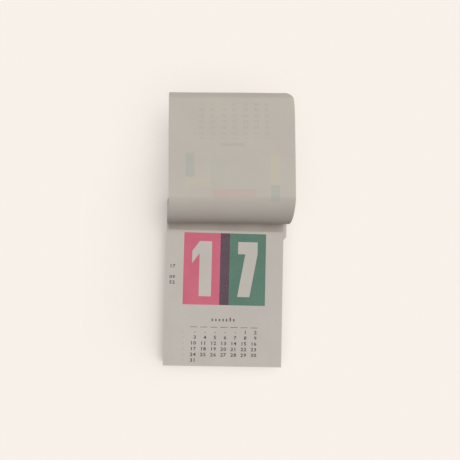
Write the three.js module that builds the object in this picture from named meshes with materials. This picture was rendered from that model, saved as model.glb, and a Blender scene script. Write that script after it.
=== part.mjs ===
// A page-a-day calendar pad lying on its back, with the days already gone by turned over its head.
// Millimetres. +X runs across a leaf, +Y up the leaf to its head, +Z from the backing card to the reader.
// The origin is below the middle of the whole object, on the surface that it lies on.

import * as THREE from "three";
import { mergeVertices } from "three/addons/utils/BufferGeometryUtils.js";

// Driving dimensions of the pad
const leafWidth = 105;
const leafLength = 148;
const leafThickness = 0.09;
const unusedCount = 154;
const turnedCount = 15;
const cardThickness = 1.5;
const glueThickness = 0.4;

// Driving dimensions of the turned leaves
const rootLength = 4;
const curlRadius = 18.3;
const droopReach = 80;
const droopAtReach = 1.3;
const turnDegrees = 1.45;
const turnShift = 3.2;
const turnSkew = 0.0065;
const cornerRollDegrees = 20;
const cornerRollDepth = 4.9;
const cornerRollRadius = 7;

// Driving dimensions of the wider head that every leaf has at its right
const tabOut = 2.6;
const tabLength = 35;
const tabClip = 3.6;
const turnedTabLength = 26;

// Driving dimensions of the print on the open leaf
const inkThickness = 0.06;
const bandFoot = 27.6;
const bandHeight = 19;
const bandInset = 1.6;
const panelInset = 15.8;
const panelWidth = 32.6;
const panelHeight = 64.2;
const panelBelowBand = 2.2;
const overlapWidth = 8.4;
const figureStroke = 11;
const figureMargin = 7.5;
const flagDrop = 9;

// Fineness of the curved leaves
const outlineSteps = 14;
const acrossSteps = 34;
const edgeCrowding = 1.5;

// Heights and places that follow from the driving dimensions
const pageHeight = cardThickness + unusedCount * leafThickness;
const bundleThickness = turnedCount * leafThickness;
const curlY = leafLength - rootLength;
const curlZ = pageHeight + curlRadius;
const droop = droopAtReach / droopReach ** 2;
const turn = THREE.MathUtils.degToRad(turnDegrees);
const rollAcross = Math.cos(THREE.MathUtils.degToRad(cornerRollDegrees));
const rollAlong = Math.sin(THREE.MathUtils.degToRad(cornerRollDegrees));
const outerRun = curlY - Math.PI * curlRadius;
const innerRun = outerRun + Math.PI * bundleThickness;
const bandY = leafLength - bandFoot;
const panelTop = bandY - panelBelowBand;
const panelFoot = panelTop - panelHeight;

// Materials
const paper = (color) => new THREE.MeshStandardMaterial({ color, roughness: 0.85, metalness: 0 });
const leafPaper = paper(0xc9c1b9);
const greyInk = paper(0x928b81);
const pinkInk = paper(0xc06a7c);
const greenInk = paper(0x5a7a6a);
const plumInk = paper(0x634d57);
const greyCard = new THREE.MeshStandardMaterial({ color: 0x9d958a, roughness: 0.9, metalness: 0 });
const driedGlue = new THREE.MeshStandardMaterial({ color: 0xe6e0d2, roughness: 0.45, metalness: 0 });

// A closed outline through corner points
function outline(corners) {
  return new THREE.Shape(corners.map(([x, y]) => new THREE.Vector2(x, y)));
}

// The outline of a rectangle from its left foot to its right top corner
function rectangle(left, foot, right, top) {
  return outline([[left, foot], [right, foot], [right, top], [left, top]]);
}

// A geometry with only its positions, its shared corners merged and its normals worked out again
function tidied(geometry) {
  geometry.deleteAttribute("normal");
  geometry.deleteAttribute("uv");
  const merged = mergeVertices(geometry, 1e-4);
  merged.computeVertexNormals();
  return merged;
}

// A plate with its outline in the plane of the leaf, from one height up to another
function plate(shape, low, high) {
  const geometry = new THREE.ExtrudeGeometry(shape, { depth: high - low, bevelEnabled: false });
  geometry.translate(0, 0, low);
  return tidied(geometry);
}

// The outline of a leaf, with its wider head at the right clipped off at an angle
function leafOutline() {
  const tabFoot = leafLength - tabLength;
  return outline([
    [0, 0],
    [leafWidth, 0],
    [leafWidth, tabFoot],
    [leafWidth + tabOut, tabFoot + tabClip],
    [leafWidth + tabOut, leafLength],
    [0, leafLength],
  ]);
}

// The backing card
function backingCard() {
  return plate(leafOutline(), 0, cardThickness);
}

// The leaves still to come, as one block
function leafBlock() {
  return plate(leafOutline(), cardThickness, pageHeight);
}

// The section of the turned leaves, Y across the sheet and Z up it: flat root, half-round curl and
// a run that droops as a parabola. The inner leaves go round a tighter curl, so they reach further.
function turnedSection() {
  const innerRadius = curlRadius - bundleThickness;
  const top = curlZ + curlRadius;
  const innerTop = curlZ + innerRadius;
  const down = -Math.PI / 2;
  const up = Math.PI / 2;
  const section = new THREE.Shape();
  section.moveTo(leafLength, pageHeight);
  section.lineTo(leafLength, pageHeight + bundleThickness);
  section.lineTo(curlY, pageHeight + bundleThickness);
  section.absarc(curlY, curlZ, innerRadius, down, up, true);
  section.quadraticCurveTo(
    curlY + innerRun / 2, innerTop, curlY + innerRun, innerTop - droop * innerRun ** 2);
  section.lineTo(curlY + outerRun, top - droop * outerRun ** 2);
  section.quadraticCurveTo(curlY + outerRun / 2, top, curlY, top);
  section.absarc(curlY, curlZ, curlRadius, up, down, false);
  return section;
}

// How far a point of the turned leaves has gone round the curl, from 0 at the root to 1 past the top
function shareTurned(y, z) {
  if (y >= curlY) return z > curlZ ? 1 : 0;
  return Math.atan2(curlY - y, curlZ - z) / Math.PI;
}

// Crowds the points of the turned leaves towards their right edge, where the corner rolls
function crowd(point) {
  point.x = leafWidth * (1 - (1 - point.x / leafWidth) ** edgeCrowding);
}

// Widens the right edge of the turned leaves as far up from the root as the wider head reaches
function widenHead(point) {
  if (point.x < leafWidth - 0.001 || (point.y >= curlY && point.z > curlZ)) return;
  const fromHead = rootLength + shareTurned(point.y, point.z) * Math.PI * curlRadius;
  point.x += tabOut * THREE.MathUtils.clamp((turnedTabLength - fromHead) / tabClip, 0, 1);
}

// Rolls the free corner at the right down round a cylinder whose axis runs mostly along the leaf
function rollCorner(point) {
  const run = point.y - curlY;
  const fromTip = (leafWidth - point.x) * rollAcross + (outerRun - run) * rollAlong;
  const past = cornerRollDepth - fromTip;
  if (point.z < curlZ || past <= 0) return;
  const surface = curlZ + curlRadius - droop * run ** 2;
  const radius = cornerRollRadius + point.z - surface;
  const angle = past / cornerRollRadius;
  const shift = radius * Math.sin(angle) - past;
  point.x += shift * rollAcross;
  point.y += shift * rollAlong;
  point.z = surface - cornerRollRadius + radius * Math.cos(angle);
}

// Sets the turned leaves a little to the right, swings them back to the left and skews their free edge,
// more the further they have gone round the curl
function swing(point) {
  const share = shareTurned(point.y, point.z);
  const across = point.x - leafWidth / 2;
  const along = Math.max(point.y - curlY, 0);
  point.y += share * (turn * across + turnSkew * point.x);
  point.x += share * (turnShift - turn * along);
}

// The leaves already turned over the head, one bent bundle
function turnedLeaves() {
  const geometry = new THREE.ExtrudeGeometry(turnedSection(), {
    depth: leafWidth,
    steps: acrossSteps,
    curveSegments: outlineSteps,
    bevelEnabled: false,
  });
  geometry.applyMatrix4(new THREE.Matrix4().makeBasis(
    new THREE.Vector3(0, 1, 0), new THREE.Vector3(0, 0, 1), new THREE.Vector3(1, 0, 0)));
  const bent = tidied(geometry);
  const position = bent.attributes.position;
  const point = new THREE.Vector3();
  for (let i = 0; i < position.count; i += 1) {
    point.fromBufferAttribute(position, i);
    crowd(point);
    widenHead(point);
    rollCorner(point);
    swing(point);
    position.setXYZ(i, point.x, point.y, point.z);
  }
  bent.computeVertexNormals();
  return bent;
}

// The dried glue that holds card, block and turned leaves along the head
function headGlue() {
  const strip = rectangle(0, leafLength, leafWidth + tabOut, leafLength + glueThickness);
  return plate(strip, 0, pageHeight + bundleThickness);
}

// A field of ink on the open leaf, with a figure left bare in it where one is given
function ink(field, figure) {
  if (figure) field.holes.push(figure);
  return plate(field, pageHeight, pageHeight + inkThickness);
}

// The band printed below the head, stopped short of where the turned leaves lift off the page
function headBand() {
  return ink(rectangle(bandInset, bandY, leafWidth, bandY + bandHeight));
}

// The left panel, with a plain figure one left bare
function leftPanel() {
  const right = panelInset + panelWidth;
  const stemLeft = right - figureMargin - figureStroke;
  const stemRight = stemLeft + figureStroke;
  const top = panelTop - figureMargin;
  const foot = panelFoot + figureMargin;
  const flagLeft = panelInset + figureMargin;
  const one = outline([
    [stemLeft, foot],
    [stemRight, foot],
    [stemRight, top],
    [stemLeft, top],
    [flagLeft, top - flagDrop],
    [flagLeft, top - flagDrop - figureStroke],
    [stemLeft, top - figureStroke],
  ]);
  return ink(rectangle(panelInset, panelFoot, right, panelTop), one);
}

// The strip where the two panels overlap
function overlapStrip() {
  const left = panelInset + panelWidth;
  return ink(rectangle(left, panelFoot, left + overlapWidth, panelTop));
}

// The right panel, with a plain figure seven left bare
function rightPanel() {
  const left = panelInset + panelWidth + overlapWidth;
  const right = left + panelWidth;
  const barLeft = left + figureMargin;
  const barRight = right - figureMargin;
  const top = panelTop - figureMargin;
  const foot = panelFoot + figureMargin;
  const seven = outline([
    [barLeft, top],
    [barLeft, top - figureStroke],
    [barRight - figureStroke, top - figureStroke],
    [barLeft, foot],
    [barLeft + figureStroke, foot],
    [barRight, top - figureStroke],
    [barRight, top],
  ]);
  return ink(rectangle(left, panelFoot, right, panelTop), seven);
}

// The whole calendar, with its origin below the middle of its box
const pieces = {
  backing_card: [backingCard(), greyCard],
  leaf_block: [leafBlock(), leafPaper],
  turned_leaves: [turnedLeaves(), leafPaper],
  head_glue: [headGlue(), driedGlue],
  head_band: [headBand(), greyInk],
  left_panel: [leftPanel(), pinkInk],
  panel_overlap: [overlapStrip(), plumInk],
  right_panel: [rightPanel(), greenInk],
};

const calendar = new THREE.Group();
for (const [name, [geometry, material]] of Object.entries(pieces)) {
  const mesh = new THREE.Mesh(geometry, material);
  mesh.name = name;
  calendar.add(mesh);
}
const box = new THREE.Box3().setFromObject(calendar, true);
const middle = box.getCenter(new THREE.Vector3());
calendar.position.set(-middle.x, -middle.y, -box.min.z);

export default calendar;
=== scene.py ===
"""Looks of a page-a-day calendar pad that lies on its back, its used leaves curled over the head.

Everything is in metres, in the row frame: +X across a leaf, +Y up the leaf to its head, +Z from the
backing card to the reader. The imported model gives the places, and each class here dresses one
sub-assembly: the block of unused leaves, the turned leaves, the glue line, the print, and the studio.
"""

import logging
import math
from dataclasses import dataclass, field
from enum import Enum
from typing import Optional, Sequence

import bpy
import numpy as np
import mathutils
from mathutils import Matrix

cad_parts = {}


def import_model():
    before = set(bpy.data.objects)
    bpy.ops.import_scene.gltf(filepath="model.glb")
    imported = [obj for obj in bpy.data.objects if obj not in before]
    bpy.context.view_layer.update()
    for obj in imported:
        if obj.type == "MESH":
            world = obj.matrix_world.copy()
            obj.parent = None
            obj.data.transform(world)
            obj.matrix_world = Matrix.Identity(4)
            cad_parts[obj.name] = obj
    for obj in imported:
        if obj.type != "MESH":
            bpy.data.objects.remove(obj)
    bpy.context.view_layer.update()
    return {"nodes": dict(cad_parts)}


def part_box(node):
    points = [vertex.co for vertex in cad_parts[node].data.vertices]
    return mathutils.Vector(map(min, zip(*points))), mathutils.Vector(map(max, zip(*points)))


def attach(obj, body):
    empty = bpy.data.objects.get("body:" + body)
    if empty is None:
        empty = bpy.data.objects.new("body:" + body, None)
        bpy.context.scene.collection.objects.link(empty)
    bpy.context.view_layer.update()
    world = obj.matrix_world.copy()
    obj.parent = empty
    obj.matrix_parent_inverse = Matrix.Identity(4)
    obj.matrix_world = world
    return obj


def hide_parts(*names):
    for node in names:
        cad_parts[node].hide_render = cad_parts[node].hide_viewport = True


MM = 0.001
SEED = 28
WEEKDAYS = 7

log = logging.getLogger("calendar")

Color = tuple[float, float, float]
Vector = tuple[float, float, float]
Grid = np.ndarray
Faces = list[list[int]]
Socket = bpy.types.NodeSocket
Material = bpy.types.Material
Piece = bpy.types.Object


def linear(*screen: int) -> Color:
    """Turns a screen colour's red, green and blue, of 0 to 255, into linear values by the sRGB curve."""
    shares = [value / 255 for value in screen]
    return tuple(share / 12.92 if share <= 0.04045 else ((share + 0.055) / 1.055) ** 2.4 for share in shares)


class Tone(Enum):
    """The colours of paper, board, glue and ink, as linear values."""

    LEAF = linear(193, 186, 178)
    LEAF_SHADE = linear(184, 177, 170)
    LEAF_BACK = linear(190, 183, 171)
    BOARD = linear(140, 131, 120)
    BOARD_FLECK = linear(104, 96, 87)
    GLUE = linear(222, 214, 198)
    GREY_INK = linear(168, 159, 148)
    PINK_INK = linear(198, 98, 119)
    GREEN_INK = linear(84, 119, 103)
    PLUM_INK = linear(86, 64, 76)
    TEXT_INK = linear(72, 65, 61)
    FLOOR = linear(249, 242, 234)

    def times(self, share: float) -> Color:
        """The colour with each of its channels multiplied."""
        return tuple(channel * share for channel in self.value)


# Node helpers

# Stretches of a noise's grey values, most of which lie near the middle
WIDE = (0.3, 0.7)
NARROW = (0.35, 0.65)


@dataclass(frozen=True)
class Grain:
    """A noise: how many cells it has to a metre, how many finer layers, and how strong those are."""

    scale: float
    layers: float
    rough: float = 0.5


@dataclass(frozen=True)
class Sheen:
    """How a finish scatters light: its roughness and specular level, and how strong and deep its tooth is."""

    roughness: float
    specular: float
    tooth: float
    depth: float


class Nodes:
    """A thin layer over a node tree, so that each finish reads as a short recipe."""

    # The Mix node has its share and two colours in these inputs, and the mixed colour in this output
    MIX_INPUTS = (0, 6, 7)
    MIX_OUTPUT = 2

    def __init__(self, owner: bpy.types.ID, output: str = "ShaderNodeOutputMaterial") -> None:
        """Starts an empty tree.

        Args:
            owner: the material or world that the tree belongs to.
            output: type name of its output node.
        """
        self.owner = owner
        owner.use_nodes = True
        self.tree = owner.node_tree
        self.tree.nodes.clear()
        self.output = self.add(output)

    @classmethod
    def material(cls, name: str) -> "Nodes":
        """Starts the empty tree of a new material."""
        return cls(bpy.data.materials.new(name))

    def add(self, kind: str, inputs: Optional[dict] = None, **settings: object) -> bpy.types.Node:
        """Adds a node.

        Args:
            kind: the node's type name.
            inputs: an output, a linear colour or a number for each input, by its name or place.
            settings: attributes of the node to set.

        Returns:
            The new node.
        """
        node = self.tree.nodes.new(kind)
        for key, value in settings.items():
            setattr(node, key, value)
        for key, value in (inputs or {}).items():
            if isinstance(value, Socket):
                self.tree.links.new(value, node.inputs[key])
            else:
                node.inputs[key].default_value = (*value, 1.0) if isinstance(value, tuple) else value
        return node

    def math(self, operation: str, *values: object) -> Socket:
        """Adds a Math node, with an output or a number for each input that the operation uses."""
        return self.add("ShaderNodeMath", dict(enumerate(values)), operation=operation).outputs[0]

    def times(self, first: object, second: object) -> Socket:
        """Multiplies two outputs or numbers."""
        return self.math("MULTIPLY", first, second)

    def noise(self, vector: Socket, grain: Grain) -> Socket:
        """The grey value of a noise at a place."""
        inputs = {"Vector": vector, "Scale": grain.scale, "Detail": grain.layers, "Roughness": grain.rough}
        return self.add("ShaderNodeTexNoise", inputs).outputs["Fac"]

    def spread(
        self, value: Socket, low: float, high: float, out_low: float = 0.0, out_high: float = 1.0
    ) -> Socket:
        """Maps a value from the range low to high to the range out_low to out_high, held at the ends."""
        inputs = {"Value": value, "From Min": low, "From Max": high, "To Min": out_low, "To Max": out_high}
        return self.add("ShaderNodeMapRange", inputs).outputs["Result"]

    def mix(self, share: object, first: object, second: object) -> Socket:
        """Mixes two colours, each an output or a linear colour: 0 is the first and 1 the second."""
        inputs = dict(zip(self.MIX_INPUTS, (share, first, second)))
        return self.add("ShaderNodeMix", inputs, data_type="RGBA").outputs[self.MIX_OUTPUT]

    def place(self) -> Socket:
        """The object coordinates, in metres."""
        return self.add("ShaderNodeTexCoord").outputs["Object"]

    def axes(self, vector: Socket) -> tuple[Socket, ...]:
        """The three axes of a vector."""
        return tuple(self.add("ShaderNodeSeparateXYZ", {"Vector": vector}).outputs)

    def seen(self) -> Socket:
        """Marks the rays that show a surface itself: straight, in a mirror, or through glass.

        Returns:
            1 on such a ray, and 0 on one that only carries light.
        """
        path = self.add("ShaderNodeLightPath").outputs
        either = self.math("MAXIMUM", path["Is Camera Ray"], path["Is Glossy Ray"])
        return self.math("MAXIMUM", either, path["Is Transmission Ray"])

    def show(self, shader: bpy.types.Node) -> None:
        """Joins a shader to the output."""
        self.tree.links.new(shader.outputs[0], self.output.inputs["Surface"])

    def show_two(self, share: Socket, first: bpy.types.Node, second: bpy.types.Node) -> None:
        """Joins a mix of two shaders to the output: 0 is the first and 1 the second."""
        inputs = {0: share, 1: first.outputs[0], 2: second.outputs[0]}
        self.show(self.add("ShaderNodeMixShader", inputs))

    def close(self, color: Socket, height: Socket, sheen: Sheen, rough: Optional[Socket] = None) -> Material:
        """Closes the recipe of a material with a Principled shader.

        Args:
            color: the base colour.
            height: the height of the tooth, from 0 to 1.
            sheen: how it scatters light.
            rough: the roughness, where it isn't even.

        Returns:
            The material.
        """
        bump = {"Height": height, "Strength": sheen.tooth, "Distance": sheen.depth}
        inputs = {
            "Base Color": color,
            "Roughness": rough or sheen.roughness,
            "Specular IOR Level": sheen.specular,
            "Normal": self.add("ShaderNodeBump", bump).outputs["Normal"],
        }
        self.show(self.add("ShaderNodeBsdfPrincipled", inputs))
        return self.owner


# Finishes


@dataclass(frozen=True)
class PaperFinish:
    """Uncoated paper: a warm grey with fine fibres, faint clouding and a soft tooth."""

    name: str
    base: Tone
    shade: Tone
    fibre: Grain = Grain(1400.0, 4.0, 0.6)
    fibre_share: float = 0.55
    cloud: Grain = Grain(38.0, 2.0)
    cloud_share: float = 0.45
    sheen: Sheen = Sheen(0.86, 0.25, 0.12, 0.05 * MM)

    def cloth(self, nodes: Nodes) -> tuple[Socket, Socket]:
        """Builds the paper's colour and tooth.

        Args:
            nodes: the tree to build in.

        Returns:
            The colour, and the height of the tooth.
        """
        fibre = nodes.noise(nodes.place(), self.fibre)
        cloud = nodes.noise(nodes.place(), self.cloud)
        fibres = nodes.spread(fibre, *WIDE, 0.0, self.fibre_share)
        clouds = nodes.spread(cloud, *NARROW, 0.0, self.cloud_share)
        return nodes.mix(nodes.math("ADD", fibres, clouds), self.base.value, self.shade.value), fibre

    def make(self) -> Material:
        """Builds the material."""
        nodes = Nodes.material(self.name)
        return nodes.close(*self.cloth(nodes), self.sheen)


@dataclass(frozen=True)
class InkFinish:
    """Flat print on uncoated paper: a solid tone that sinks a little unevenly into the fibres.

    bare_grain is the stretch of the grain where the paper shows, up to bare_share. Where a share of
    lightening is given, the colour is also painted lighter from one place along the leaf to another:
    painted light against shade that falls there.
    """

    name: str
    tone: Tone
    grain: Grain = Grain(900.0, 5.0, 0.65)
    bare_grain: tuple[float, float] = (0.42, 0.72)
    bare_share: float = 0.14
    cloud: Grain = Grain(55.0, 2.0)
    cloud_share: float = 0.5
    cloud_tone: float = 0.9
    thin_from: float = 0.0
    thin_to: float = 0.0
    thinned: float = 0.0
    sheen: Sheen = Sheen(0.78, 0.3, 0.1, 0.04 * MM)

    def make(self) -> Material:
        """Builds the material.

        Returns:
            The material.
        """
        nodes = Nodes.material(self.name)
        place = nodes.place()
        grain = nodes.noise(place, self.grain)
        cloud = nodes.noise(place, self.cloud)
        worn = nodes.times(nodes.spread(grain, *self.bare_grain), self.bare_share)
        # Painted light: the colour is made lighter along the leaf, against shade that falls there
        if self.thinned:
            thin = nodes.spread(nodes.axes(place)[1], self.thin_from, self.thin_to, 0.0, self.thinned)
            worn = nodes.math("ADD", worn, thin)
        color = nodes.mix(worn, self.tone.value, Tone.LEAF.value)
        clouds = nodes.spread(cloud, *NARROW, 0.0, self.cloud_share)
        color = nodes.mix(clouds, color, self.tone.times(self.cloud_tone))
        return nodes.close(color, grain, self.sheen)


@dataclass(frozen=True)
class BoardFinish:
    """Grey backing board: recycled pulp with darker flecks and a coarse tooth."""

    name: str = "grey_board"
    pulp: Grain = Grain(520.0, 5.0, 0.65)
    pulp_tone: float = 1.18
    fleck: Grain = Grain(1900.0, 2.0)
    fleck_grain: tuple[float, float] = (0.66, 0.74)
    fleck_share: float = 0.75
    sheen: Sheen = Sheen(0.92, 0.2, 0.3, 0.12 * MM)

    def make(self) -> Material:
        """Builds the material.

        Returns:
            The material.
        """
        nodes = Nodes.material(self.name)
        place = nodes.place()
        pulp = nodes.noise(place, self.pulp)
        fleck = nodes.noise(place, self.fleck)
        color = nodes.mix(nodes.spread(pulp, *WIDE), Tone.BOARD.value, Tone.BOARD.times(self.pulp_tone))
        flecks = nodes.spread(fleck, *self.fleck_grain, 0.0, self.fleck_share)
        return nodes.close(nodes.mix(flecks, color, Tone.BOARD_FLECK.value), pulp, self.sheen)


@dataclass(frozen=True)
class GlueFinish:
    """Dried padding glue: milky, smooth and a little glossy, with soft brush ripples."""

    name: str = "dried_glue"
    ripple: Grain = Grain(160.0, 2.0, 0.4)
    ripple_tone: float = 0.84
    fine: Grain = Grain(700.0, 3.0)
    roughest: float = 0.5
    sheen: Sheen = Sheen(0.32, 0.45, 0.35, 0.2 * MM)

    def make(self) -> Material:
        """Builds the material.

        Returns:
            The material.
        """
        nodes = Nodes.material(self.name)
        place = nodes.place()
        ripple = nodes.noise(place, self.ripple)
        fine = nodes.noise(place, self.fine)
        color = nodes.mix(nodes.spread(ripple, *NARROW), Tone.GLUE.value, Tone.GLUE.times(self.ripple_tone))
        rough = nodes.spread(fine, *WIDE, self.sheen.roughness, self.roughest)
        return nodes.close(color, ripple, self.sheen, rough)


@dataclass(frozen=True)
class EdgePaperFinish:
    """Cut edges of pressed leaves: fine lines, one for each leaf, a touch darker than the faces.

    leaf is the thickness of a leaf, and low the height of the lowest one.
    """

    name: str
    leaf: float
    low: float
    line_tone: float = 0.8
    fibre: Grain = Grain(1100.0, 4.0, 0.6)
    sheen: Sheen = Sheen(0.9, 0.2, 0.2, 0.06 * MM)

    def make(self) -> Material:
        """Builds the material.

        Returns:
            The material.
        """
        nodes = Nodes.material(self.name)
        place = nodes.place()
        above = nodes.math("SUBTRACT", nodes.axes(place)[2], self.low)
        number = nodes.math("FLOOR", nodes.math("DIVIDE", above, self.leaf))
        chance = nodes.add("ShaderNodeTexWhiteNoise", {"W": number}, noise_dimensions="1D")
        line = Tone.LEAF_SHADE.times(self.line_tone)
        color = nodes.mix(chance.outputs["Value"], Tone.LEAF.value, line)
        return nodes.close(color, nodes.noise(place, self.fibre), self.sheen)


@dataclass(frozen=True)
class LeafArea:
    """An area of a leaf, in millimetres. Its middle is measured from the left edge and from the head."""

    across: float
    along: float
    half_width: float
    half_length: float

    def mark(self, nodes: Nodes, across: Socket, along: Socket) -> Socket:
        """Marks the area.

        Args:
            nodes: the tree to build in.
            across, along: the place on the leaf, in millimetres.

        Returns:
            1 inside the area, and 0 elsewhere.
        """
        return nodes.times(
            nodes.math("COMPARE", across, self.across, self.half_width),
            nodes.math("COMPARE", along, self.along, self.half_length),
        )


@dataclass(frozen=True)
class CellRow:
    """A row of like cells, in millimetres, with a stretch round the middle of each one marked.

    half is half of the marked stretch, as a share of the cell.
    """

    first: float
    pitch: float
    half: float

    def mark(self, nodes: Nodes, place: Socket) -> Socket:
        """Marks the middle of every cell: 1 there and 0 elsewhere, by the place along the row."""
        cells = nodes.math("DIVIDE", nodes.math("SUBTRACT", place, self.first), self.pitch)
        return nodes.math("COMPARE", nodes.math("FRACT", cells), 0.5, self.half)


@dataclass(frozen=True)
class ShowThrough(LeafArea):
    """A faint field of print that shows through from the far side of a leaf."""

    tone: Color
    strength: float


SHOW_THROUGH = (
    ShowThrough(24.0, 76.0, 10.0, 3.8, linear(205, 196, 150), 0.17),
    ShowThrough(17.5, 90.0, 3.6, 10.0, linear(120, 156, 145), 0.18),
    ShowThrough(40.0, 84.0, 6.0, 12.0, linear(160, 176, 150), 0.08),
    ShowThrough(88.0, 86.0, 3.8, 13.0, linear(205, 196, 150), 0.16),
    ShowThrough(88.0, 66.0, 3.8, 7.0, linear(120, 156, 150), 0.19),
    ShowThrough(54.0, 66.5, 18.0, 3.4, linear(205, 130, 130), 0.16),
    ShowThrough(52.0, 32.5, 38.0, 1.1, linear(170, 84, 80), 0.2),
)


@dataclass(frozen=True)
class TurnedPaperFinish:
    """The back of a used leaf: the paper of the pad with faint print showing through it.

    It reads the piece's own UV map, which holds the leaf's millimetres across and along from its head.
    Round the front of the curl the colour carries a painted shade, full from full_from to full_to,
    weaker towards the root and fading out past full_to. The paper is also a little darker at its
    free edge.
    """

    name: str = "turned_leaf_paper"
    blur: Grain = Grain(900.0, 3.0, 0.6)
    jitter: float = 0.35
    columns: CellRow = CellRow(22.5, 9.1, 0.25)
    figures: CellRow = CellRow(22.5, 2.275, 0.34)
    weeks: CellRow = CellRow(114.0, 5.03, 0.27)
    month: LeafArea = LeafArea(52.5, 127.0, 30.5, 15.2)
    bar: LeafArea = LeafArea(52.5, 107.0, 10.5, 1.4)
    faintest: float = 0.02
    strongest: float = 0.14
    edge_from: float = 146.6
    edge_to: float = 147.4
    edge_shade: float = 0.13
    # The painted shade round the front of the curl: where it lies along the leaf, in millimetres, and how
    # dark it is
    root_from: float = 12.0
    root_share: float = 0.3
    full_from: float = 32.0
    full_to: float = 37.0
    fold_end: float = 64.0
    fold_power: float = 0.6
    fold_shade: float = 0.69
    shade_tone: float = 0.5
    sheen: Sheen = Sheen(0.84, 0.25, 0.12, 0.05 * MM)

    def print_through(self, nodes: Nodes, color: Socket, across: Socket, along: Socket) -> Socket:
        """Lays the faint fields, the month's rows of figures and a bar over the paper.

        Args:
            nodes: the tree to build in.
            color: the paper's colour.
            across, along: the place on the leaf, in millimetres.

        Returns:
            The colour with the faint print on it.
        """
        blur = nodes.noise(nodes.place(), self.blur)
        jitter = nodes.spread(blur, 0.0, 1.0, -self.jitter, self.jitter)
        soft = [nodes.math("ADD", place, jitter) for place in (across, along)]
        for item in SHOW_THROUGH:
            color = nodes.mix(nodes.times(item.mark(nodes, *soft), item.strength), color, item.tone)
        figures = nodes.times(self.columns.mark(nodes, across), self.figures.mark(nodes, across))
        rows = nodes.times(figures, self.weeks.mark(nodes, along))
        month = nodes.times(rows, self.month.mark(nodes, across, along))
        marks = nodes.math("MAXIMUM", month, self.bar.mark(nodes, across, along))
        worn = nodes.times(marks, nodes.spread(blur, *NARROW, self.faintest, self.strongest))
        return nodes.mix(worn, color, Tone.TEXT_INK.value)

    def shading(self, nodes: Nodes, along: Socket) -> Socket:
        """How far the paper darkens at its free edge, and the painted shade round the front of the curl.

        Args:
            nodes: the tree to build in.
            along: the place from the leaf's head, in millimetres.

        Returns:
            0 where the paper keeps its colour, more where it is darker.
        """
        edge = nodes.spread(along, self.edge_from, self.edge_to, 0.0, self.edge_shade)
        # Painted shade: the colour darkens round the front of the curl, where the curl turns away from the
        # light, and less so towards the root
        fading = nodes.spread(along, self.full_to, self.fold_end, 1.0, 0.0)
        root_shade = self.root_share * self.fold_shade
        rising = nodes.spread(along, self.root_from, self.full_from, root_shade, self.fold_shade)
        fold = nodes.times(nodes.math("POWER", fading, self.fold_power), rising)
        return nodes.math("ADD", edge, fold)

    def make(self) -> Material:
        """Builds the material.

        Returns:
            The material.
        """
        nodes = Nodes.material(self.name)
        color, tooth = PaperFinish(self.name, Tone.LEAF_BACK, Tone.LEAF_SHADE).cloth(nodes)
        across, along, _ = nodes.axes(nodes.add("ShaderNodeUVMap", uv_map="leaf").outputs["UV"])
        color = self.print_through(nodes, color, across, along)
        # Lays the darker tone over the free edge and over the curl's painted shade
        color = nodes.mix(self.shading(nodes, along), color, Tone.LEAF_SHADE.times(self.shade_tone))
        return nodes.close(color, tooth, self.sheen)


# Meshes


def place_data(name: str, data: bpy.types.ID) -> Piece:
    """Puts a mesh, a curve, a light or a camera into a new object at the origin.

    Args:
        name: the object's name.
        data: what it holds.

    Returns:
        The new object.
    """
    placed = bpy.data.objects.new(name, data)
    bpy.context.scene.collection.objects.link(placed)
    return placed


def face_piece(
    name: str,
    verts: Grid,
    faces: Sequence[Sequence[int]],
    finishes: Sequence[Material],
    smooth: bool = False,
) -> Piece:
    """Puts points and faces of any number of corners into a new piece.

    Args:
        name: the piece's name.
        verts: points, one row of three each.
        faces: corner numbers of each face.
        finishes: its materials, of which every face takes the first.
        smooth: whether faces are shaded smooth.

    Returns:
        The piece.
    """
    mesh = bpy.data.meshes.new(name)
    mesh.from_pydata(verts.tolist(), [], faces)
    for finish in finishes:
        mesh.materials.append(finish)
    mesh.polygons.foreach_set("use_smooth", np.full(len(mesh.polygons), smooth))
    mesh.update()
    return place_data(name, mesh)


def ring_faces(rows: int, columns: int) -> Grid:
    """Quads between neighbouring rows of points, each row being one closed ring round the surface.

    Args:
        rows: how many rings.
        columns: how many points in a ring.

    Returns:
        Corner numbers, four to a face.
    """
    row, column = np.meshgrid(np.arange(rows - 1), np.arange(columns), indexing="ij")
    after = (column + 1) % columns
    near, far = row * columns, (row + 1) * columns
    return np.stack([near + column, near + after, far + after, far + column], -1).reshape(-1, 4)


def solid_faces(rows: int, columns: int) -> Faces:
    """Quads between so many rings of so many points, then a face over the first ring and over the last."""
    first, last = list(range(columns)), list(range((rows - 1) * columns, rows * columns))
    return ring_faces(rows, columns).tolist() + [first[::-1], last]


# The calendar


@dataclass(frozen=True)
class PadFrame:
    """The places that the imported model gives, in metres.

    TAB_OUT is how far the wider head of a leaf stands out, and TAB_CLIP how long its slanted step is.
    """

    left: float
    right: float
    foot: float
    head: float
    card_top: float
    page: float
    bundle: float
    curl_radius: float
    reach_right: float

    TAB_OUT = 2.6 * MM
    TAB_CLIP = 3.6 * MM

    @classmethod
    def read(cls) -> "PadFrame":
        """Reads the places from the CAD nodes' boxes.

        Returns:
            The places.
        """
        card_low, card_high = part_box("backing_card")
        _, block_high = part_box("leaf_block")
        _, glue_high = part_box("head_glue")
        _, turned_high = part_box("turned_leaves")
        page = block_high.z
        return cls(
            left=card_low.x,
            right=card_high.x - cls.TAB_OUT,
            foot=card_low.y,
            head=card_high.y,
            card_top=card_high.z,
            page=page,
            bundle=glue_high.z - page,
            curl_radius=(turned_high.z - page) / 2,
            reach_right=turned_high.x,
        )

    @property
    def width(self) -> float:
        """Width of a leaf below its wider head."""
        return self.right - self.left

    @property
    def wide(self) -> float:
        """Width of a leaf at its wider head."""
        return self.width + self.TAB_OUT

    @property
    def length(self) -> float:
        """Length of a leaf from foot to head."""
        return self.head - self.foot


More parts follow.
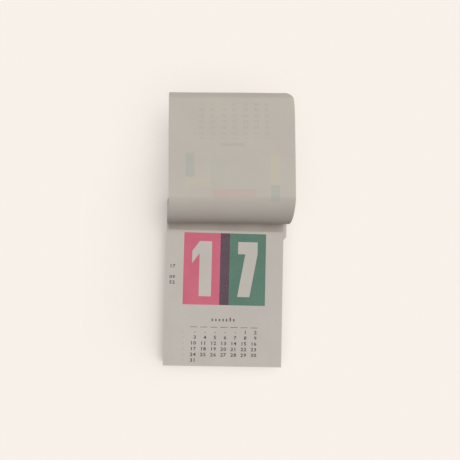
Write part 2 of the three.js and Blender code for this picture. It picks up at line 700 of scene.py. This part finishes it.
@dataclass
class LeafBlock:
    """The block of unused leaves: every leaf a hair out of line with the next, the head cut flush.

    A groove lies between leaves. It ends and starts at groove_end and face_end, heights in a leaf as
    shares of its thickness.
    """

    pad: PadFrame
    leaf: float = 0.09 * MM
    tab_length: float = 35 * MM
    groove: float = 0.05 * MM
    groove_end: float = 0.12
    face_end: float = 0.9
    page_edge: float = 0.02 * MM
    drift: float = 0.14 * MM
    walk_step: float = 0.3
    walk_share: float = 0.6
    points_per_edge: int = 7

    def outline(self) -> tuple[Grid, Grid]:
        """The leaf's outline as points, with the direction in which each point moves outwards.

        Returns:
            Points across and along the leaf, and outward directions, one row of two each.
        """
        tab_foot = self.pad.length - self.tab_length
        corners = np.array([
            (0.0, 0.0),
            (self.pad.width, 0.0),
            (self.pad.width, tab_foot),
            (self.pad.wide, tab_foot + self.pad.TAB_CLIP),
            (self.pad.wide, self.pad.length),
            (0.0, self.pad.length),
        ])
        after = np.roll(corners, -1, 0)
        share = np.linspace(0, 1, self.points_per_edge, endpoint=False)[None, :, None]
        points = (corners[:, None] * (1 - share) + after[:, None] * share).reshape(-1, 2)
        step = np.roll(points, -1, 0) - np.roll(points, 1, 0)
        outward = np.stack([step[:, 1], -step[:, 0]], -1)
        return points, outward / np.linalg.norm(outward, axis=1, keepdims=True)

    def slips(self, count: int) -> Grid:
        """How far the foot of each leaf lies out of line: a slow walk up the block plus a slip of its own.

        Args:
            count: how many leaves.

        Returns:
            Slips across and along the leaf, one row of two each, none for the open leaf on top.
        """
        chance = np.random.default_rng(SEED)
        walk = np.cumsum(chance.normal(0, self.walk_step, (count, 2)), 0)
        walk -= np.linspace(0, 1, count)[:, None] * walk[-1]
        own = chance.uniform(-1, 1, (count, 2))
        slips = self.drift * (self.walk_share * walk / np.abs(walk).max() + (1 - self.walk_share) * own)
        slips[-1] = 0
        return slips

    def rings(self, count: int) -> Grid:
        """The outline of each leaf at three heights: in the groove below it, and twice on its edge.

        A leaf is held at its head, so a point moves by its leaf's slip times its share of the way from
        head to foot. A last ring closes the open leaf at the page.

        Args:
            count: how many leaves.

        Returns:
            Points by ring and place round it, three numbers each.
        """
        points, outward = self.outline()
        slips = self.slips(count)[:, None, :]
        loose = 1 - points[None, :, 1] / self.pad.length
        moved = points + np.stack([slips[..., 0] * loose, np.abs(slips[..., 1]) * loose], -1)
        moved[..., 0] = np.clip(moved[..., 0], 0, self.pad.wide)
        inset = moved - outward * self.groove
        flat = np.stack([inset, moved, moved], 1).reshape(-1, *points.shape)
        foot = self.pad.card_top + np.arange(count)[:, None] * self.leaf
        heights = (foot + np.array([0.0, self.groove_end, self.face_end]) * self.leaf).ravel()
        heights[-1] = self.pad.page - self.page_edge
        flat = np.concatenate([flat, points[None]])
        heights = np.append(heights, self.pad.page)
        return np.concatenate([flat, np.broadcast_to(heights[:, None, None], (*flat.shape[:2], 1))], -1)

    def build(self) -> Piece:
        """Stacks the leaves, and dresses the open leaf as paper and all the rest as cut edges.

        Returns:
            The block.
        """
        rings = self.rings(round((self.pad.page - self.pad.card_top) / self.leaf))
        verts = rings.reshape(-1, 3) + (self.pad.left, self.pad.foot, 0)
        faces = solid_faces(*rings.shape[:2])
        paper = PaperFinish("leaf_paper", Tone.LEAF, Tone.LEAF_SHADE).make()
        edges = EdgePaperFinish("leaf_edges", self.leaf, self.pad.card_top).make()
        piece = face_piece("unused_leaves", verts, faces, (paper, edges))
        slots = np.ones(len(faces), np.int32)
        slots[-1] = 0
        piece.data.polygons.foreach_set("material_index", slots)
        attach(piece, "root")
        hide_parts("leaf_block")
        return piece


@dataclass
class TurnedLeaves:
    """The used leaves, each a thin sheet of its own, bent round one curl over the head.

    Along a leaf, s runs from the head: a flat root, a half circle, then a run that droops as a parabola.
    A leaf that lies deeper in the bundle goes round a tighter circle, so its free edge reaches further.
    Points less than hair from the right edge count as on it, and take the wider head's step.
    """

    pad: PadFrame
    count: int = 15
    root: float = 4 * MM
    droop: float = 1.3 * MM / (80 * MM) ** 2
    turn: float = math.radians(1.45)
    turn_shift: float = 3.2 * MM
    skew: float = 0.0065
    roll_angle: float = math.radians(20)
    corner_depth: float = 4.9 * MM
    corner_radius: float = 7 * MM
    tab_length: float = 26 * MM
    paper: float = 0.074 * MM
    fan: float = 0.075 * MM
    slip: float = 0.22 * MM
    wave: float = 0.12 * MM
    long_wave: float = 17 * MM
    long_wave_start: float = 0.7
    short_wave: float = 9 * MM
    short_wave_run: float = 21 * MM
    short_wave_share: float = 0.6
    arc_rows: int = 34
    run_rows: int = 34
    run_crowding: float = 1.25
    columns: int = 40
    edge_crowding: float = 1.5
    hair: float = 0.01 * MM
    sharp_from: float = math.radians(35)

    @property
    def curl_y(self) -> float:
        """Where the curl's axis lies along the pad."""
        return self.pad.head - self.root

    @property
    def curl_z(self) -> float:
        """The height of the curl's axis."""
        return self.pad.page + self.pad.curl_radius

    @property
    def outer_run(self) -> float:
        """How far the outermost leaf reaches past the top of the curl."""
        return self.pad.length - self.root - math.pi * self.pad.curl_radius

    def rows(self, radius: float) -> Grid:
        """Places along a leaf, measured from the head, closer together at the free edge.

        Args:
            radius: radius of this leaf's way round the curl.

        Returns:
            The places, from the head to the free edge.
        """
        arc = math.pi * radius
        free = self.pad.length - self.root - arc
        run = 1 - (1 - np.linspace(0, 1, self.run_rows + 1)[1:]) ** self.run_crowding
        return np.concatenate([
            [0.0, self.root / 2],
            self.root + arc * np.linspace(0, 1, self.arc_rows),
            self.root + arc + free * run,
        ])

    def roll_corner(self, x: Grid, y: Grid, z: Grid, run: Grid) -> tuple[Grid, Grid, Grid]:
        """Rolls the free corner at the right round a cylinder whose axis runs mostly along the leaf.

        A point goes as far round the cylinder as it lies past the line where the roll starts, at the
        cylinder's radius plus the point's own height over the outermost leaf.

        Args:
            x, y, z: points of the flat leaf, x from its left edge.
            run: distance past the top of the curl.

        Returns:
            The rolled points.
        """
        roll_x, roll_y = math.cos(self.roll_angle), math.sin(self.roll_angle)
        past = self.corner_depth - (self.pad.width - x) * roll_x - (self.outer_run - run) * roll_y
        rolled = (run > 0) & (past > 0)
        outermost = self.curl_z + self.pad.curl_radius - self.droop * run**2
        radius = self.corner_radius + z - outermost
        angle = np.maximum(past, 0) / self.corner_radius
        shift = np.where(rolled, radius * np.sin(angle) - past, 0)
        z = np.where(rolled, outermost - self.corner_radius + radius * np.cos(angle), z)
        return x + shift * roll_x, y + shift * roll_y, z

    def surface(self, s: Grid, across: Grid, depth: Grid, fan: float, slip: float) -> Grid:
        """The place of points on a leaf.

        The section is worked out in the plane of Y and Z from s, and ripples along its run. Then the
        free corner is rolled, and the leaf is set a little to the right, swung back to the left and
        skewed, all three by the share of the curl that the point has gone round.

        Args:
            s: distance from the head along the leaf.
            across: distance from the leaf's left edge.
            depth: distance from the bundle's outer face.
            fan: how far this leaf's free edge hangs below its place in the bundle.
            slip: how far this leaf's free edge lies out of line.

        Returns:
            Points, one row of three each.
        """
        radius = self.pad.curl_radius - depth
        angle = np.clip((s - self.root) / radius, 0, math.pi)
        run = np.maximum(s - self.root - math.pi * radius, 0)
        reach = run / self.outer_run
        run = run + slip * reach
        on_root = s < self.root
        bent_y = self.curl_y - radius * np.sin(angle) + run
        bent_z = self.curl_z - radius * np.cos(angle) - self.droop * run**2
        y = np.where(on_root, self.pad.head - s, bent_y)
        z = np.where(on_root, self.pad.page + depth, bent_z)
        short = self.short_wave_share * np.sin(across / self.short_wave + run / self.short_wave_run)
        ripple = np.sin(across / self.long_wave + self.long_wave_start) + short
        z = z - np.minimum(reach, 1) ** 2 * (fan + self.wave * (ripple + (1 + self.short_wave_share)))
        tab = np.clip((self.tab_length - s) / self.pad.TAB_CLIP, 0, 1) * self.pad.TAB_OUT
        x = across + np.where(across > self.pad.width - self.hair, tab, 0)
        x, y, z = self.roll_corner(x, y, z, run)
        share = angle / math.pi
        along = np.maximum(y - self.curl_y, 0)
        swung_x = self.pad.left + x + share * (self.turn_shift - self.turn * along)
        swung_y = y + share * (self.turn * (x - self.pad.width / 2) + self.skew * x)
        return np.stack([swung_x, swung_y, z], -1)

    def leaf_mesh(self, number: int, chance: np.random.Generator) -> tuple[Grid, Grid, Grid]:
        """One leaf as a closed sheet: rings that go across its outer face and back across its inner face.

        Args:
            number: 0 for the leaf at the outside of the curl.
            chance: the source of the small slips.

        Returns:
            Points, quads and the leaf coordinates of each point in millimetres.
        """
        depth = number * self.pad.bundle / self.count
        share = np.linspace(0, 1, self.columns)
        across = self.pad.width * (1 - (1 - share) ** self.edge_crowding)
        ring_across = np.concatenate([across, across[::-1]])
        ring_depth = np.concatenate([np.zeros(self.columns), np.full(self.columns, self.paper)])
        s, x = np.meshgrid(self.rows(self.pad.curl_radius - depth), ring_across, indexing="ij")
        open_share = np.clip(1 - (self.pad.length - s) / self.outer_run, 0, 1)
        slip = self.slip * chance.uniform(-1, 1)
        sideways = self.slip * chance.uniform(-1, 1) * open_share
        points = self.surface(s, x, depth + ring_depth[None, :], self.fan * number, slip)
        points[..., 0] = np.minimum(points[..., 0] + sideways, self.pad.reach_right)
        rows, ring = s.shape
        inner = np.arange(self.columns - 1)
        cap = np.stack([inner, ring - 1 - inner, ring - 2 - inner, inner + 1], -1)
        quads = np.concatenate([ring_faces(rows, ring), cap[:, ::-1], cap + (rows - 1) * ring])
        return points.reshape(-1, 3), quads[:, ::-1], np.stack([x, s], -1).reshape(-1, 2) / MM

    def build(self) -> Piece:
        """Builds the bundle as one piece.

        Returns:
            The bundle.
        """
        chance = np.random.default_rng(SEED + 1)
        leaves = [self.leaf_mesh(number, chance) for number in range(self.count)]
        points, quads, places = zip(*leaves)
        starts = np.cumsum([0] + [len(part) for part in points])
        faces = np.concatenate([part + start for part, start in zip(quads, starts)]).tolist()
        finish = TurnedPaperFinish().make()
        piece = face_piece("used_leaves", np.concatenate(points), faces, (finish,), smooth=True)
        piece.data.set_sharp_from_angle(angle=self.sharp_from)
        layer = piece.data.uv_layers.new(name="leaf")
        corner = np.empty(len(piece.data.loops), np.int32)
        piece.data.loops.foreach_get("vertex_index", corner)
        layer.data.foreach_set("uv", np.concatenate(places)[corner].astype(np.float32).ravel())
        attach(piece, "root")
        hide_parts("turned_leaves")
        return piece


@dataclass
class GlueLine:
    """The dried glue along the head: a film with soft edges and slight ripples, flat against the leaves.

    The brush's ripples are long_x and long_z apart and lean by lean_x, the finer ones short_x and short_z.
    """

    pad: PadFrame
    ripple: float = 0.05 * MM
    long_x: float = 3.1 * MM
    long_z: float = 2.3 * MM
    lean_x: float = 11 * MM
    short_x: float = 1.3 * MM
    short_z: float = 4 * MM
    short_share: float = 0.5
    bulge: float = 0.35
    end_bulge: float = 0.12
    ring_points: int = 44
    lengths: int = 90

    def build(self) -> Piece:
        """Carries a rounded section, a superellipse in Y and Z, along X with small waves on its outside.

        Returns:
            The glue line.
        """
        low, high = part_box("head_glue")
        angle = np.linspace(0, 2 * math.pi, self.ring_points, endpoint=False)
        cos, sin = np.cos(angle), np.sin(angle)
        thick, tall = high.y - low.y, high.z - low.z
        section_y = low.y + thick / 2 * (1 + np.sign(cos) * np.abs(cos) ** self.bulge)
        section_z = low.z + tall / 2 * (1 + np.sign(sin) * np.abs(sin) ** self.end_bulge)
        x, y = np.meshgrid(np.linspace(low.x, high.x, self.lengths), section_y, indexing="ij")
        z = np.broadcast_to(section_z, x.shape)
        long = np.sin(x / self.long_x) * np.sin(z / self.long_z + x / self.lean_x)
        wave = long + self.short_share * np.sin(x / self.short_x + z / self.short_z)
        y = y - np.clip(cos, 0, 1) * self.ripple * (1 + self.short_share + wave)
        verts = np.stack([x, y, z], -1).reshape(-1, 3)
        faces = [face[::-1] for face in solid_faces(self.lengths, self.ring_points)]
        piece = face_piece("glue_line", verts, faces, (GlueFinish().make(),), smooth=True)
        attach(piece, "root")
        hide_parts("head_glue")
        return piece


@dataclass
class Glyphs:
    """Plain figures taken from Blender's own font, as thin flat solids.

    A figure is kept one unit tall, with the middle of its foot at the origin and heights of 0 to 1.
    """

    thickness: float = 0.012 * MM
    weight: float = 0.022
    curve_steps: int = 2
    _known: dict[str, tuple[Grid, Faces]] = field(default_factory=dict)

    def outline(self, sign: str) -> tuple[Grid, Faces]:
        """The points and faces of one figure.

        Args:
            sign: the figure.

        Returns:
            Points, one row of three each, and the corner numbers of each face.
        """
        if sign not in self._known:
            curve = bpy.data.curves.new("figure", "FONT")
            curve.body = sign
            curve.resolution_u = self.curve_steps
            curve.extrude = 0.5
            curve.offset = self.weight
            holder = place_data("figure", curve)
            bpy.context.view_layer.update()
            evaluated = holder.evaluated_get(bpy.context.evaluated_depsgraph_get())
            mesh = bpy.data.meshes.new_from_object(evaluated)
            points = np.array([vertex.co for vertex in mesh.vertices], float)
            faces = [list(face.vertices) for face in mesh.polygons]
            bpy.data.objects.remove(holder)
            bpy.data.curves.remove(curve)
            bpy.data.meshes.remove(mesh)
            low, high = points.min(0), points.max(0)
            points -= ((low[0] + high[0]) / 2, low[1], -0.5)
            points[:, :2] /= high[1] - low[1]
            self._known[sign] = (points, faces)
        return self._known[sign]


@dataclass
class PrintedMarks:
    """The small print of the open leaf: plain numbers, ticks and dots, on the paper's face.

    Places are across and along the leaf from its left foot corner. month_start is the weekday of the
    month's first day, counted from 0, and the one with the longer tick.
    """

    pad: PadFrame
    glyphs: Glyphs = field(default_factory=Glyphs)
    figure_height: float = 3.1 * MM
    figure_spread: float = 1.2
    advance: float = 2.75 * MM
    first_column: float = 27.5 * MM
    column_pitch: float = 8.98 * MM
    first_row: float = 28.7 * MM
    row_pitch: float = 5.03 * MM
    month_start: int = 5
    month_days: int = 31
    dash_width: float = 1.1 * MM
    dash_lift: float = 0.8 * MM
    dot: float = 0.5 * MM
    dot_lift: float = 1.2 * MM
    dot_column: float = 16.8 * MM
    rule_back: float = 1.2 * MM
    rule_foot: float = 34.1 * MM
    rule_width: float = 6.3 * MM
    rule_height: float = 0.42 * MM
    first_tick: float = 42.7 * MM
    tick_pitch: float = 3.2 * MM
    tick_foot: float = 39.6 * MM
    tick_width: float = 1.15 * MM
    tick_height: float = 2.2 * MM
    long_tick_height: float = 3.3 * MM
    margin_right: float = 7.3 * MM
    margin_height: float = 3.0 * MM
    margin_numbers: tuple[tuple[str, float], ...] = (("17", 86.4 * MM), ("09", 76.8 * MM), ("52", 72.0 * MM))

    def __post_init__(self) -> None:
        """Starts with nothing printed."""
        self.points: list[Grid] = []
        self.faces: Faces = []
        self.total = 0

    def stamp(self, points: Grid, faces: Faces) -> None:
        """Adds a shape.

        Args:
            points: its points, in place on the leaf, with heights of 0 to 1.
            faces: corner numbers of each face.
        """
        placed = points * (1, 1, self.glyphs.thickness) + (self.pad.left, self.pad.foot, self.pad.page)
        self.points.append(placed)
        self.faces += [[corner + self.total for corner in face] for face in faces]
        self.total += len(points)

    def number(self, text: str, right: float, foot: float, height: float) -> None:
        """Prints a number that ends at a place.

        Args:
            text: the figures.
            right: middle of the last figure.
            foot: the line that the figures stand on.
            height: height of a figure.
        """
        advance = self.advance * height / self.figure_height
        for place, sign in enumerate(reversed(text)):
            points, faces = self.glyphs.outline(sign)
            size = (height * self.figure_spread, height, 1)
            self.stamp(points * size + (right - place * advance, foot, 0), faces)

    def bar(self, middle: float, foot: float, width: float, height: float) -> None:
        """Prints a short bar.

        Args:
            middle: its middle across the leaf.
            foot: its foot along the leaf.
            width, height: its size.
        """
        x = middle + width / 2 * np.array([-1, 1, 1, -1])
        y = foot + height * np.array([0, 0, 1, 1])
        points = np.concatenate([np.stack([x, y, np.full(4, level)], -1) for level in (0.0, 1.0)])
        sides = [[i, (i + 1) % 4, (i + 1) % 4 + 4, i + 4] for i in range(4)]
        self.stamp(points, [[3, 2, 1, 0], [4, 5, 6, 7]] + sides)

    def month(self) -> None:
        """Prints the days in seven columns, with dashes before the first and a dot before each week."""
        weeks = math.ceil((self.month_start + self.month_days) / WEEKDAYS)
        for cell in range(weeks * WEEKDAYS):
            week, column = divmod(cell, WEEKDAYS)
            right = self.first_column + column * self.column_pitch
            foot = self.first_row - week * self.row_pitch
            day = cell - self.month_start + 1
            if 1 <= day <= self.month_days:
                self.number(str(day), right, foot, self.figure_height)
            elif day < 1:
                self.bar(right, foot + self.dash_lift, self.dash_width, self.dot)
        for week in range(weeks):
            foot = self.first_row - week * self.row_pitch + self.dot_lift
            self.bar(self.dot_column, foot, self.dot, self.dot)

    def headings(self) -> None:
        """Prints a short rule over each column, and a row of seven ticks for the days of the week."""
        for column in range(WEEKDAYS):
            middle = self.first_column - self.rule_back + column * self.column_pitch
            self.bar(middle, self.rule_foot, self.rule_width, self.rule_height)
        for tick in range(WEEKDAYS):
            height = self.long_tick_height if tick == self.month_start else self.tick_height
            self.bar(self.first_tick + tick * self.tick_pitch, self.tick_foot, self.tick_width, height)

    def margin(self) -> None:
        """Prints the plain numbers in the left margin."""
        for text, foot in self.margin_numbers:
            self.number(text, self.margin_right, foot, self.margin_height)

    def build(self) -> Piece:
        """Builds the small print as one piece.

        Returns:
            The marks.
        """
        self.month()
        self.headings()
        self.margin()
        finish = InkFinish("text_ink", Tone.TEXT_INK, bare_share=0.12).make()
        piece = face_piece("small_print", np.concatenate(self.points), self.faces, (finish,))
        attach(piece, "root")
        return piece


def dress(node: Piece, finish: Material) -> None:
    """Gives a CAD node its finish in place of the plain one it came with."""
    node.data.materials.clear()
    node.data.materials.append(finish)


@dataclass
class Print:
    """The colour fields of the open leaf, which keep their CAD solids, and the small print.

    The band's ink is painted lighter over band_fade from its foot, and stays that light up to the head:
    painted light against the shade that the curl throws on the band.
    """

    nodes: dict[str, Piece]
    pad: PadFrame
    band_fade: float = 8 * MM
    band_thinned: float = 0.5

    PANELS = {
        "left_panel": Tone.PINK_INK,
        "panel_overlap": Tone.PLUM_INK,
        "right_panel": Tone.GREEN_INK,
    }

    def build(self) -> None:
        """Dresses the colour fields and prints the small marks."""
        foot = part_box("head_band")[0].y
        # Painted light: the band's ink is made lighter towards the head, where the curl over it shades it
        painted_band_light = {"thin_from": foot, "thin_to": foot + self.band_fade, "thinned": self.band_thinned}
        dress(self.nodes["head_band"], InkFinish("head_band_ink", Tone.GREY_INK, **painted_band_light).make())
        for name, tone in self.PANELS.items():
            dress(self.nodes[name], InkFinish(name + "_ink", tone).make())
        PrintedMarks(self.pad).build()


# Studio


@dataclass(frozen=True)
class Shade:
    """A painted shadow: a soft shade of the object, painted into the floor's glow round it from an
    ambient occlusion test.

    depth is how dark a place gets that is shaded from all sides, reach how far off a thing still shades,
    in metres, and towards where the light of this shade comes from.
    """

    depth: float
    reach: float
    towards: Vector
    samples: int = 5

    def light_left(self, nodes: Nodes) -> Socket:
        """How light a place on the floor stays.

        Args:
            nodes: the tree to build in.

        Returns:
            1 in the open, less near the object.
        """
        towards = nodes.add("ShaderNodeCombineXYZ", dict(enumerate(self.towards))).outputs[0]
        inputs = {"Distance": self.reach, "Normal": towards}
        light = nodes.add("ShaderNodeAmbientOcclusion", inputs, samples=self.samples).outputs["AO"]
        return nodes.spread(light, 0.0, 1.0, 1 - self.depth)


@dataclass(frozen=True)
class Sun:
    """A light far off: its share of the light on a flat face, where it comes from, its disc in degrees."""

    name: str
    share: float
    towards: Vector
    disc: float

    def hang(self) -> None:
        """Hangs the light. It is as strong as a flat face needs to get its share at this slant."""
        x, y, z = self.towards
        tilt = math.atan2(math.hypot(x, y), z)
        light = bpy.data.lights.new(self.name, "SUN")
        light.energy = self.share * math.pi / math.cos(tilt)
        light.angle = math.radians(self.disc)
        lamp = place_data(self.name, light)
        lamp.rotation_euler = (0, tilt, math.atan2(y, x))


@dataclass
class Studio:
    """A pale floor, two soft lights from high at the right, and the camera of the photograph.

    camera_turn is in degrees, lens and sensor in millimetres, and lens_shift a share of the picture's
    width. Nothing closer to the camera than nearest is drawn.
    """

    floor_half: float = 3.0
    floor_gap: float = 0.05 * MM
    shadow_share: float = 0.24
    sky: float = 0.2
    # Painted shadows on the floor's glow: a broad one as from a light at the lower right, and a narrow one
    # round the object's foot
    broad: Shade = Shade(0.52, 78 * MM, (0.5, -0.5, 0.7))
    contact: Shade = Shade(0.25, 14 * MM, (0.0, 0.0, 1.0))
    suns: tuple[Sun, ...] = (
        Sun("key", 0.66, (0.24, 0.1, 1.0), 34.0),
        Sun("fill", 0.16, (0.7, -0.45, 1.0), 60.0),
    )
    camera_place: Vector = (-25.001 * MM, -24.166 * MM, 424.862 * MM)
    camera_turn: Vector = (2.8288, -2.1741, 1.4407)
    lens: float = 35.758
    sensor: float = 36.0
    lens_shift: tuple[float, float] = (0.03, 0.015)
    nearest: float = 0.01

    def camera(self) -> None:
        """Sets the camera almost straight over the leaf, rolled a little as the photograph is."""
        data = bpy.data.cameras.new("camera")
        data.lens = self.lens
        data.sensor_width = self.sensor
        data.shift_x, data.shift_y = self.lens_shift
        data.clip_start = self.nearest
        camera = place_data("camera", data)
        camera.location = self.camera_place
        camera.rotation_euler = tuple(math.radians(angle) for angle in self.camera_turn)
        bpy.context.scene.camera = camera

    def floor(self) -> None:
        """Lays a pale floor: its own colour to the camera, with painted shadows, and some real shadow."""
        nodes = Nodes.material("pale_floor")
        diffuse = nodes.add("ShaderNodeBsdfDiffuse", {"Color": Tone.FLOOR.value})
        # Painted shadow: the colour that the camera sees darkens near the object
        light = nodes.times(self.broad.light_left(nodes), self.contact.light_left(nodes))
        painted_shadow_colour = nodes.mix(light, (0.0, 0.0, 0.0), Tone.FLOOR.value)
        glow = nodes.add("ShaderNodeEmission", {"Color": painted_shadow_colour})
        nodes.show_two(nodes.times(nodes.seen(), 1 - self.shadow_share), diffuse, glow)
        corners = np.array([(-1, -1, 0), (1, -1, 0), (1, 1, 0), (-1, 1, 0)])
        verts = corners * self.floor_half - (0, 0, self.floor_gap)
        face_piece("floor", verts, [range(4)], (nodes.owner,))

    def room(self) -> None:
        """Fills the room with even light, and shows the floor's colour past the floor."""
        world = bpy.data.worlds.new("room")
        bpy.context.scene.world = world
        nodes = Nodes(world, "ShaderNodeOutputWorld")
        light = nodes.add("ShaderNodeBackground", {"Strength": self.sky})
        wall = nodes.add("ShaderNodeBackground", {"Color": Tone.FLOOR.value})
        nodes.show_two(nodes.seen(), light, wall)

    def build(self) -> None:
        """Builds the studio."""
        bpy.context.scene.view_settings.view_transform = "Standard"
        self.camera()
        self.floor()
        self.room()
        for sun in self.suns:
            sun.hang()


def main() -> None:
    """Builds every sub-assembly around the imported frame, in order."""
    logging.basicConfig(level=logging.INFO, format="%(name)s: %(message)s")
    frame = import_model()
    nodes = frame["nodes"]
    pad = PadFrame.read()
    log.info("leaf %.1f by %.1f mm", pad.width / MM, pad.length / MM)
    steps = (
        ("studio", Studio().build),
        ("backing card", lambda: dress(nodes["backing_card"], BoardFinish().make())),
        ("unused leaves", LeafBlock(pad).build),
        ("used leaves", TurnedLeaves(pad).build),
        ("glue line", GlueLine(pad).build),
        ("print", Print(nodes, pad).build),
    )
    for name, step in steps:
        step()
        log.info("%s built", name)


if __name__ == "__main__":
    main()
